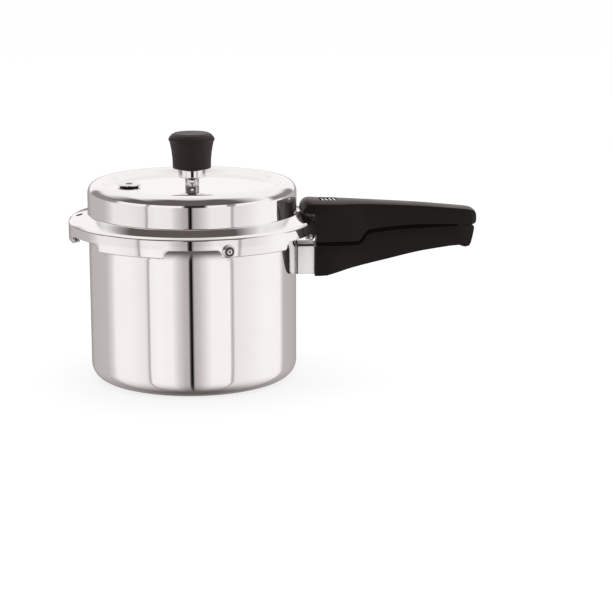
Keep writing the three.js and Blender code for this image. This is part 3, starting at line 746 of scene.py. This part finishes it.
# ------------------------------------------------------------------ rivets and nuts
radial(
    "stop_rivet_head",
    [
        (0, 111.4), (1.9, 111.4, 0.3), (1.9, 114.5, 0), (2.5, 114.5, 0.2), (2.5, 115.9, 0.2), (1.9, 115.9, 0), (1.9, 119.3, 0), (6.1, 119.3, 0.2), (6.1, 120.3, 0.5), (5.1, 121.6, 0.7),
        (4.5, 121.9, 0.3), (3.9, 120.6, 0.2), (3.0, 120.6, 0.2), (2.5, 122.2, 0.5), (1.2, 122.5, 0.3), (0.7, 121.9, 0.2), (0, 121.9),
    ],
    15.8, 143.6, "lid", ["stop_rivet"], CHROME,
    # the groove, the underside of the rim and the centre are painted near-black: painted shade
    dark=lambda r, d: (2.7 < r < 4.2 and 120 < d < 121.3) or (r > 6.0 and d > 119.5) or (r < 0.95 and d > 121),
)
for name, z in (("pot_rivet_lower", 107.5), ("pot_rivet_upper", 122.5)):
    radial(
        name + "_domed",
        [(0, 94.3), (3.4, 94.6, 2.4), (5.2, 96.0, 0.5), (5.2, 96.6, 0.1), (2.5, 96.6, 0), (2.5, 102.7, 0), (4.4, 102.7, 0.2), (4.4, 104.4, 0.5), (0, 104.4)],
        90, z, "pot", [name], ZINC, n=40,
    )


def nut(name, x, across, z0, z1, bore, node):
    """A hexagon nut with broken edges."""
    pts = [(x + across / math.sqrt(3) * math.cos(math.radians(60 * k)), across / math.sqrt(3) * math.sin(math.radians(60 * k))) for k in range(6)]
    v = [(a, b, z0) for a, b in pts] + [(a, b, z1) for a, b in pts]
    f = [tuple(reversed(range(6))), tuple(range(6, 12))] + [(j, (j + 1) % 6, 6 + (j + 1) % 6, 6 + j) for j in range(6)]
    o = place(name, v, f, "lid", [node], [ZINC], bevel=(0.5, 3, 30))
    cut(o, disc_cutter(x, 0, bore, z0 - 3, z1 + 3))


nut("vent_nut_hex", 0, 14, 176.4, 181.9, 4.3, "vent_nut")
nut("safety_plug_nut_hex", -60.5, 18, 177.6, 183.3, 6.3, "safety_plug_nut")

# ------------------------------------------------------------------ plain CAD pieces keep their shape and take a finish
for name, obj in frame["nodes"].items():
    s = next((p["material_slot"] for p in frame["record"]["subparts"] if p["node"] == name), None)
    m = {"polished_steel": CHROME, "plain_steel": ZINC, "fusible_alloy": ALLOY, "black_rubber": RUBBER, "black_phenolic": BAKELITE, "polished_aluminium": MIRROR}[s]
    obj.data.materials.clear()
    # the lid bracket inside the handle is painted near-black: painted shade
    obj.data.materials.append(SHADE_STEEL if name == "lid_bracket" else m)

# ------------------------------------------------------------------ studio
floor_me = bpy.data.meshes.new("floor")
floor_me.from_pydata([(40 * math.cos(math.radians(6 * k)), 40 * math.sin(math.radians(6 * k)), -0.0004) for k in range(60)], [], [tuple(range(60))])
floor_m, nt, p = new_material("floor")
p.inputs["Base Color"].default_value = (0.24, 0.24, 0.24, 1)
p.inputs["Emission Color"].default_value = (1.0, 1.0, 1.0, 1)
p.inputs["Emission Strength"].default_value = 0.75
p.inputs["Roughness"].default_value = 0.9
p.inputs["Specular IOR Level"].default_value = 0.0
floor_me.materials.append(floor_m)
floor = bpy.data.objects.new("floor", floor_me)
floor.visible_glossy = False
scene.collection.objects.link(floor)

world = bpy.data.worlds.new("studio")
scene.world = world
world.use_nodes = True
nt = world.node_tree
nt.nodes.clear()
tc = nt.nodes.new("ShaderNodeTexCoord")
sep = nt.nodes.new("ShaderNodeSeparateXYZ")
nt.links.new(tc.outputs["Generated"], sep.inputs[0])
dx, dy, dz = sep.outputs
azimuth = math_node(nt, "ARCTAN2", dx, math_node(nt, "MULTIPLY", dy, -1.0))
fac = math_node(nt, "ADD", math_node(nt, "DIVIDE", azimuth, 2 * math.pi), 0.5)
pos = lambda deg: deg / 360.0 + 0.5
WARM = lambda v: (min(1.0, v * 1.04), v * (0.945 + 0.055 * v), v * (0.93 + 0.07 * v))
C0 = -2.4
low = ramp(
    nt, fac,
    [(pos(a), WARM(v)) for a, v in (
        (-180, 0.28), (-162, 0.36), (-148, 0.49), (-112, 0.53), (-103, 0.70), (-96, 0.94), (-75, 0.95), (-56, 0.86), (-52.4, 0.74), (-51.2, 0.40), (-50.2, 0.40), (-48.8, 0.93), (-40, 0.985), (-24, 0.95), (C0 - 15, 0.70), (C0 - 8, 0.52), (C0 - 2.6, 0.45), (C0 - 1.7, 0.006),
        (C0 + 1.7, 0.006), (C0 + 2.6, 0.47), (C0 + 8, 0.56), (C0 + 22, 0.95), (41.0, 0.97), (42.6, 0.46), (44.0, 0.46), (45.6, 0.84), (85, 0.98), (111, 0.97), (119, 0.52), (150, 0.46), (180, 0.30),
    )],
)
front = ramp(
    nt, fac,
    [(pos(a), WARM(v)) for a, v in (
        (-180, 0.97), (-152, 0.97), (-144, 0.28), (-93, 0.28), (-85, 0.92), (-53, 0.96), (-49.5, 0.30), (-46, 0.96), (-12, 0.96), (-8, 0.02),
        (13, 0.02), (17, 0.96), (36, 0.96), (39, 0.30), (46, 0.30), (49, 0.96), (93, 0.96), (101, 0.26), (144, 0.26), (152, 0.97), (180, 0.97),
    )],
)
elevation = math_node(nt, "ARCSINE", dz)


def span(lo, hi, a=0.0, b=1.0):
    """A soft step in elevation, from a at lo degrees to b at hi degrees."""
    r = nt.nodes.new("ShaderNodeMapRange")
    r.interpolation_type = "SMOOTHSTEP"
    r.inputs["From Min"].default_value = math.radians(lo)
    r.inputs["From Max"].default_value = math.radians(hi)
    r.inputs["To Min"].default_value = a
    r.inputs["To Max"].default_value = b
    nt.links.new(elevation, r.inputs["Value"])
    return r.outputs[0]


def blend(factor, a, b, kind="MIX"):
    m = nt.nodes.new("ShaderNodeMix")
    m.data_type = "RGBA"
    m.blend_type = kind
    nt.links.new(factor, m.inputs[0]) if not isinstance(factor, float) else setattr(m.inputs[0], "default_value", factor)
    for socket, val in ((m.inputs[6], a), (m.inputs[7], b)):
        if isinstance(val, tuple):
            socket.default_value = (*val, 1)
        else:
            nt.links.new(val, socket)
    return m.outputs[2]


sky = ramp(nt, math_node(nt, "DIVIDE", elevation, math.pi / 2), [(0.0, (0.98, 0.97, 0.965)), (0.3, (0.99, 0.985, 0.98)), (0.62, (0.82, 0.80, 0.79)), (1.0, (0.76, 0.735, 0.725))])
dim_a = ramp(nt, fac, [(pos(-110), 0.0), (pos(-96), 1.0), (pos(58), 1.0), (pos(76), 0.0)])
low = blend(math_node(nt, "MULTIPLY", math_node(nt, "MULTIPLY", span(-11.8, -10.4), dim_a), 0.085), low, (0.0, 0.0, 0.0))
colour = blend(span(-1, 4), low, front)
colour = blend(span(18, 40), colour, sky)
back_a = ramp(nt, fac, [(pos(-180), 1.0), (pos(-112), 1.0), (pos(-84), 0.0), (pos(84), 0.0), (pos(112), 1.0), (pos(180), 1.0)])
back = math_node(nt, "MULTIPLY", math_node(nt, "MULTIPLY", span(18, 34), span(77, 83, 1.0, 0.0)), back_a)
colour = blend(back, colour, (0.975, 0.962, 0.957))
patch_e = math_node(nt, "MULTIPLY", span(15, 18), span(70, 84, 1.0, 0.0))
patch_a = ramp(nt, fac, [(pos(-92), 0.0), (pos(-56), 1.0), (pos(56), 1.0), (pos(92), 0.0)])
side_e = math_node(nt, "MULTIPLY", span(15, 18), span(44, 56, 1.0, 0.0))
side_a = ramp(nt, fac, [(pos(-128), 0.0), (pos(-84), 1.0), (pos(-56), 1.0), (pos(-30), 0.0)])
patch = math_node(nt, "MAXIMUM", math_node(nt, "MULTIPLY", patch_e, patch_a), math_node(nt, "MULTIPLY", side_e, side_a))
patch = math_node(nt, "MULTIPLY", patch, 0.985)
colour = blend(patch, colour, (0.118, 0.098, 0.094))
colour = blend(span(-15, -84, 0.0, 1.0), colour, (0.13, 0.112, 0.108))
env = nt.nodes.new("ShaderNodeBackground")
nt.links.new(colour, env.inputs["Color"])
env.inputs["Strength"].default_value = 1.0
plain = nt.nodes.new("ShaderNodeBackground")
plain.inputs["Color"].default_value = (1.0, 1.0, 1.0, 1)
path = nt.nodes.new("ShaderNodeLightPath")
pick = nt.nodes.new("ShaderNodeMixShader")
out = nt.nodes.new("ShaderNodeOutputWorld")
nt.links.new(path.outputs["Is Glossy Ray"], pick.inputs[0])
nt.links.new(plain.outputs[0], pick.inputs[1])
nt.links.new(env.outputs[0], pick.inputs[2])
nt.links.new(pick.outputs[0], out.inputs[0])


def area(name, loc, target, size, power):
    d = bpy.data.lights.new(name, "AREA")
    d.shape = "RECTANGLE"
    d.size, d.size_y = size
    d.energy = power
    o = bpy.data.objects.new(name, d)
    o.location = loc
    o.rotation_euler = (Vector(target) - Vector(loc)).to_track_quat("-Z", "Y").to_euler()
    o.visible_glossy = False
    scene.collection.objects.link(o)


area("overhead", (0.2, 0.3, 2.2), (0.05, 0, 0), (2.0, 2.0), 18)

scene.view_settings.view_transform = "Standard"
scene.view_settings.look = "None"
